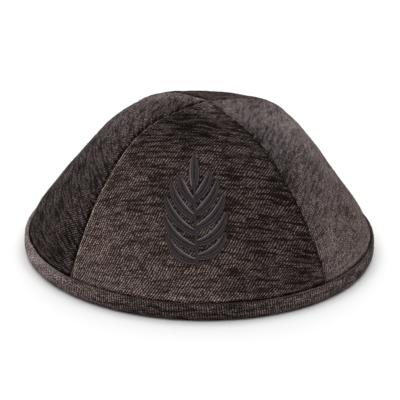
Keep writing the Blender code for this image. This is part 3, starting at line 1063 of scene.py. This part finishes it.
def satin_thread(name, colour):
    """Glossy embroidery thread, each stitch a little lighter or darker, and the edge cords lighter by
    their painted highlights.
    """
    nodes = Nodes(name)
    tone = nodes.add("ShaderNodeAttribute", {"attribute_name": "tone"}, output="Fac")
    place = nodes.add("ShaderNodeTexCoord", output="Object")
    fibre = nodes.noise(place, 5200.0, 2.0, 0.6)
    level = 0.45 + 0.75 * tone + 0.45 * fibre
    return nodes.surface(
        Base_Color=nodes.scale_colour(tuple(colour), level),
        Roughness=0.34 + 0.1 * fibre,
        Normal=nodes.bump(fibre, 0.00004),
        Sheen_Weight=0.10,
        Sheen_Roughness=0.4,
        Specular_IOR_Level=0.30,
    )


def pile_fibre(name, cloth):
    """Single fibres of the pile, dark and light ones mixed."""
    nodes = Nodes(name)
    tone = nodes.add("ShaderNodeAttribute", {"attribute_name": "tone"}, output="Fac")
    colour = nodes.mix(tone ** 2.0 * 0.55, opaque(cloth.dark_fibre, 3.0), opaque(cloth.light_fibre))
    return nodes.surface(Base_Color=colour, Roughness=0.7, Specular_IOR_Level=0.2)


def pale_floor(name, colour):
    """A plain matt studio floor."""
    nodes = Nodes(name)
    place = nodes.add("ShaderNodeTexCoord", output="Object")
    grain = nodes.noise(place, 40.0, 2.0, 0.5)
    shade = nodes.mix(grain, opaque(colour), opaque(colour, 0.99))
    return nodes.surface(Base_Color=shade, Roughness=0.7, Specular_IOR_Level=0.1)


def length_setting(name, description, default):
    """A setting that holds a length in metres."""
    return bpy.props.FloatProperty(name=name, description=description, default=default, unit="LENGTH")


def number_setting(name, description, default):
    """A setting that holds a plain number."""
    return bpy.props.FloatProperty(name=name, description=description, default=default)


def angle_setting(name, description, default):
    """A setting that holds an angle in radians, shown in degrees."""
    return bpy.props.FloatProperty(name=name, description=description, default=default, subtype="ANGLE")


def colour_setting(name, description, default):
    """A setting that holds a colour. A cast may be brighter than white."""
    return bpy.props.FloatVectorProperty(
        name=name, description=description, subtype="COLOR", default=default, min=0.0, max=2.0
    )


class ClothSettings(bpy.types.PropertyGroup):
    """Colours and weave of the cap's cloth."""

    dark_fibre: colour_setting("Dark fibre", "Ground of the weave", (0.0095, 0.0032, 0.0024))
    light_fibre: colour_setting("Light fibre", "Tips of the pile", (0.590, 0.446, 0.406))
    # The tint of the painted mauve sheen
    mauve_sheen_cast: colour_setting("Mauve cast", "Tint of brushed pile", (0.95, 1.04, 1.14))
    sheen_tint: colour_setting("Sheen tint", "Colour of the pile's sheen", (0.75, 0.66, 0.64))
    ground: number_setting("Ground", "How much light fibre shows between the flecks", 0.01)
    wale_pitch: length_setting("Wale pitch", "Distance between slanting rows", 0.0012)
    wale_lean: number_setting("Wale lean", "Angle of the rows from the weft, in degrees", 58.0)
    fleck_length: length_setting("Fleck length", "Length of a fleck along its row", 0.00108)
    pile_relief: length_setting("Pile relief", "Height of the pile's bumps", 0.00024)
    back_pitch: length_setting("Back pitch", "Thread spacing of the cloth's back", 0.0008)


class ShapeSettings(bpy.types.PropertyGroup):
    """Sizes of the sewn forms that the solids leave plain."""

    seam_roll: length_setting("Seam roll", "Radius at which cloth turns into a seam", 0.0009)
    seam_inset: length_setting("Seam inset", "Half the gap left in a seam", 0.00004)
    roll_zone: length_setting("Roll zone", "Width of the finely meshed seam edge", 0.0024)
    allowance_width: length_setting("Allowance width", "Width of the cloth folded under", 0.0042)
    allowance_rise: length_setting("Allowance rise", "How far the folded cloth lifts the face", 0.00028)
    pucker: length_setting("Pucker", "Depth of the dimples along seams", 0.00016)
    pucker_pitch: length_setting("Pucker pitch", "Distance between the dimples", 0.0033)
    wobble: length_setting("Wobble", "Unevenness of the cloth's lie", 0.00022)
    slub: length_setting("Slub", "Height of thick weft threads", 0.00006)
    tuck_height: length_setting("Tuck height", "How far up the gores bend in to the fold", 0.011)
    lip_rise: length_setting("Lip rise", "How far the fold's lip swells upwards", 0.0011)
    stitch_press: length_setting("Stitch press", "How deep the sprig presses the pile", 0.00025)
    foot_rounding: length_setting("Foot rounding", "Rounding of the fold where it rests", 0.003)
    rib_pitch: length_setting("Rib pitch", "Distance between the fold's ribs", 0.00115)
    rib_rise: length_setting("Rib rise", "Height of the fold's ribs", 0.00007)
    fold_bulge: length_setting("Fold bulge", "How far the fold swells", 0.0003)
    join_groove: length_setting("Join groove", "Depth where the strip's ends meet", 0.0002)
    lip_sway: length_setting("Lip sway", "Waviness of the fold's top edge", 0.00014)


class StitchSettings(bpy.types.PropertyGroup):
    """Threads of the sprig."""

    satin_colour: colour_setting("Satin colour", "Colour of the sprig", (0.0310, 0.0222, 0.0255))
    thread: length_setting("Thread", "Thickness of the satin thread", 0.0004)
    spacing: length_setting("Spacing", "Distance between satin stitches", 0.00037)
    slant: number_setting("Slant", "How far a stitch leans forward, as a share of its width", 0.75)
    crest: length_setting("Crest", "Height of the padded stitches", 0.00115)
    # Painted highlight of the edge cords
    cord_highlight: number_setting("Cord tone", "How much lighter the edge cords are", 15.0)


class PileSettings(bpy.types.PropertyGroup):
    """Loose fibres on the cloth."""

    count: bpy.props.IntProperty(
        name="Count", description="Fibres tried on the gores", default=6600, min=6
    )
    length: length_setting("Length", "Length of the longest fibre", 0.0014)
    thickness: length_setting("Thickness", "Thickness of a fibre", 0.00007)


class StudioSettings(bpy.types.PropertyGroup):
    """Camera, floor and lights."""

    distance: length_setting("Distance", "From the camera to the cap", 1.0)
    elevation: angle_setting("Elevation", "Camera angle above the horizon", math.radians(22.09))
    roll: angle_setting("Roll", "Turn of the camera about its view", math.radians(1.12))
    lens: number_setting("Lens", "Focal length in millimetres", 175.75)
    floor_colour: colour_setting("Floor colour", "Colour of the floor", (0.92, 0.92, 0.92))
    sky: number_setting("Sky", "Strength of the even light", 0.25)
    key: number_setting("Key", "Power of the overhead light in watts", 17.0)
    back: number_setting("Back", "Power of the back light in watts", 6.6)
    fill: number_setting("Fill", "Power of the front light in watts", 1.0)


class SkullcapSettings(bpy.types.PropertyGroup):
    """Everything that a user may change."""

    cloth: bpy.props.PointerProperty(type=ClothSettings)
    shape: bpy.props.PointerProperty(type=ShapeSettings)
    stitching: bpy.props.PointerProperty(type=StitchSettings)
    pile: bpy.props.PointerProperty(type=PileSettings)
    studio: bpy.props.PointerProperty(type=StudioSettings)


def dress(piece, slot, *nodes):
    """Lets a finished piece ride on the cap and stand for the solids it covers."""
    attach(piece, "root")
    if nodes:
        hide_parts(*nodes)


class SKULLCAP_OT_gores(bpy.types.Operator):
    """Sew the four gores of the crown"""

    bl_idname = "skullcap.gores"
    bl_label = "Crown Gores"

    def execute(self, context):
        settings = context.scene.skullcap
        face = chenille("chenille", settings.cloth, settings.cloth.wale_lean, settings.cloth.fleck_length)
        back = cloth_back("chenille_back", settings.cloth)
        for gore, name in enumerate(GORES):
            piece = make_gore(gore, name, settings.shape, [face, back])
            dress(piece, "chenille_cloth", name + "_panel")
        return {"FINISHED"}


class SKULLCAP_OT_rim_fold(bpy.types.Operator):
    """Fold the binding round the rim"""

    bl_idname = "skullcap.rim_fold"
    bl_label = "Rim Fold"

    def execute(self, context):
        settings = context.scene.skullcap
        fleck_length = settings.cloth.fleck_length * RIM_FLECK_GROWTH
        strip = chenille("folded_chenille", settings.cloth, RIM_WALE_LEAN, fleck_length)
        piece = make_rim_fold(settings.shape, strip)
        dress(piece, "binding_cloth", "rim_binding")
        return {"FINISHED"}


class SKULLCAP_OT_stitches(bpy.types.Operator):
    """Stitch the leaf sprig"""

    bl_idname = "skullcap.stitches"
    bl_label = "Stitches"

    def execute(self, context):
        settings = context.scene.skullcap
        satin = satin_thread("satin_thread", settings.stitching.satin_colour)
        dress(make_sprig(settings.stitching, satin), "satin_thread", "embroidered_sprig")
        return {"FINISHED"}


class SKULLCAP_OT_loose_pile(bpy.types.Operator):
    """Raise loose fibres from the cloth"""

    bl_idname = "skullcap.loose_pile"
    bl_label = "Loose Pile"

    def execute(self, context):
        settings = context.scene.skullcap
        piece = make_pile(settings.pile, pile_fibre("pile_fibre", settings.cloth))
        dress(piece, "chenille_cloth")
        return {"FINISHED"}


def area_light(name, place, size, power):
    """A square soft light that faces the cap."""
    light = bpy.data.lights.new(name, "AREA")
    light.shape = "SQUARE"
    light.size = size
    light.energy = power
    item = bpy.data.objects.new(name, light)
    bpy.context.scene.collection.objects.link(item)
    item.location = place
    item.rotation_mode = "QUATERNION"
    item.rotation_quaternion = (Vector(LIGHT_AIM) - Vector(place)).to_track_quat("-Z", "Y")


def aimed_camera(studio):
    """The camera at the photograph's angle, with the cap a little above the picture's middle."""
    middle = IMAGE_WIDTH / 2
    data = bpy.data.cameras.new("camera")
    data.lens = studio.lens
    data.sensor_width = 36.0
    item = bpy.data.objects.new("camera", data)
    bpy.context.scene.collection.objects.link(item)
    back = Vector((0.0, -math.cos(studio.elevation), math.sin(studio.elevation)))
    item.location = Vector(CAP_MIDDLE) + back * studio.distance
    focal = studio.lens / data.sensor_width * IMAGE_WIDTH
    offset = Vector(CAP_PIXEL) - Vector((middle, middle))
    turn = (-back).to_track_quat("-Z", "Y")
    turn = turn @ Quaternion((0, 0, 1), studio.roll)
    turn = turn @ Quaternion((0, 1, 0), math.atan(offset.x / focal))
    turn = turn @ Quaternion((1, 0, 0), math.atan(offset.y / focal))
    item.rotation_mode = "QUATERNION"
    item.rotation_quaternion = turn
    bpy.context.scene.camera = item


class SKULLCAP_OT_studio(bpy.types.Operator):
    """Set up the pale floor, the soft light and the camera"""

    bl_idname = "skullcap.studio"
    bl_label = "Studio"

    def execute(self, context):
        studio = context.scene.skullcap.studio
        ground = bmesh.new()
        bmesh.ops.create_grid(ground, x_segments=8, y_segments=8, size=FLOOR_HALF)
        floor = mesh_object("studio_floor", ground, [pale_floor("floor", studio.floor_colour)])
        for box in SOFTBOXES:
            area_light(box.name, box.place, box.size, getattr(studio, box.power))
        world = bpy.data.worlds.new("studio_sky")
        world.use_nodes = True
        sky = world.node_tree.nodes["Background"]
        sky.inputs["Color"].default_value = (1.0, 1.0, 1.0, 1.0)
        sky.inputs["Strength"].default_value = studio.sky
        context.scene.world = world
        context.scene.view_settings.view_transform = "Standard"
        aimed_camera(studio)
        return {"FINISHED"}


class SKULLCAP_PT_sidebar(bpy.types.Panel):
    """Lists the cap's settings and the steps that make it"""

    bl_idname = "SKULLCAP_PT_sidebar"
    bl_label = "Skullcap"
    bl_space_type = "VIEW_3D"
    bl_region_type = "UI"
    bl_category = "Skullcap"

    def draw(self, context):
        settings = context.scene.skullcap
        for group in (settings.cloth, settings.shape, settings.stitching, settings.pile, settings.studio):
            box = self.layout.box()
            for name in group.bl_rna.properties.keys():
                if name not in ("rna_type", "name"):
                    box.prop(group, name)
        for step in STEPS:
            self.layout.operator(step.bl_idname)


STEPS = (
    SKULLCAP_OT_gores,
    SKULLCAP_OT_rim_fold,
    SKULLCAP_OT_stitches,
    SKULLCAP_OT_loose_pile,
    SKULLCAP_OT_studio,
)
CLASSES = (
    ClothSettings,
    ShapeSettings,
    StitchSettings,
    PileSettings,
    StudioSettings,
    SkullcapSettings,
    *STEPS,
    SKULLCAP_PT_sidebar,
)


def register():
    for entry in CLASSES:
        bpy.utils.register_class(entry)
    bpy.types.Scene.skullcap = bpy.props.PointerProperty(type=SkullcapSettings)


def unregister():
    del bpy.types.Scene.skullcap
    for entry in reversed(CLASSES):
        bpy.utils.unregister_class(entry)


def main():
    register()
    bpy.ops.skullcap.gores()
    bpy.ops.skullcap.rim_fold()
    bpy.ops.skullcap.stitches()
    bpy.ops.skullcap.loose_pile()
    bpy.ops.skullcap.studio()


if __name__ == "__main__":
    main()
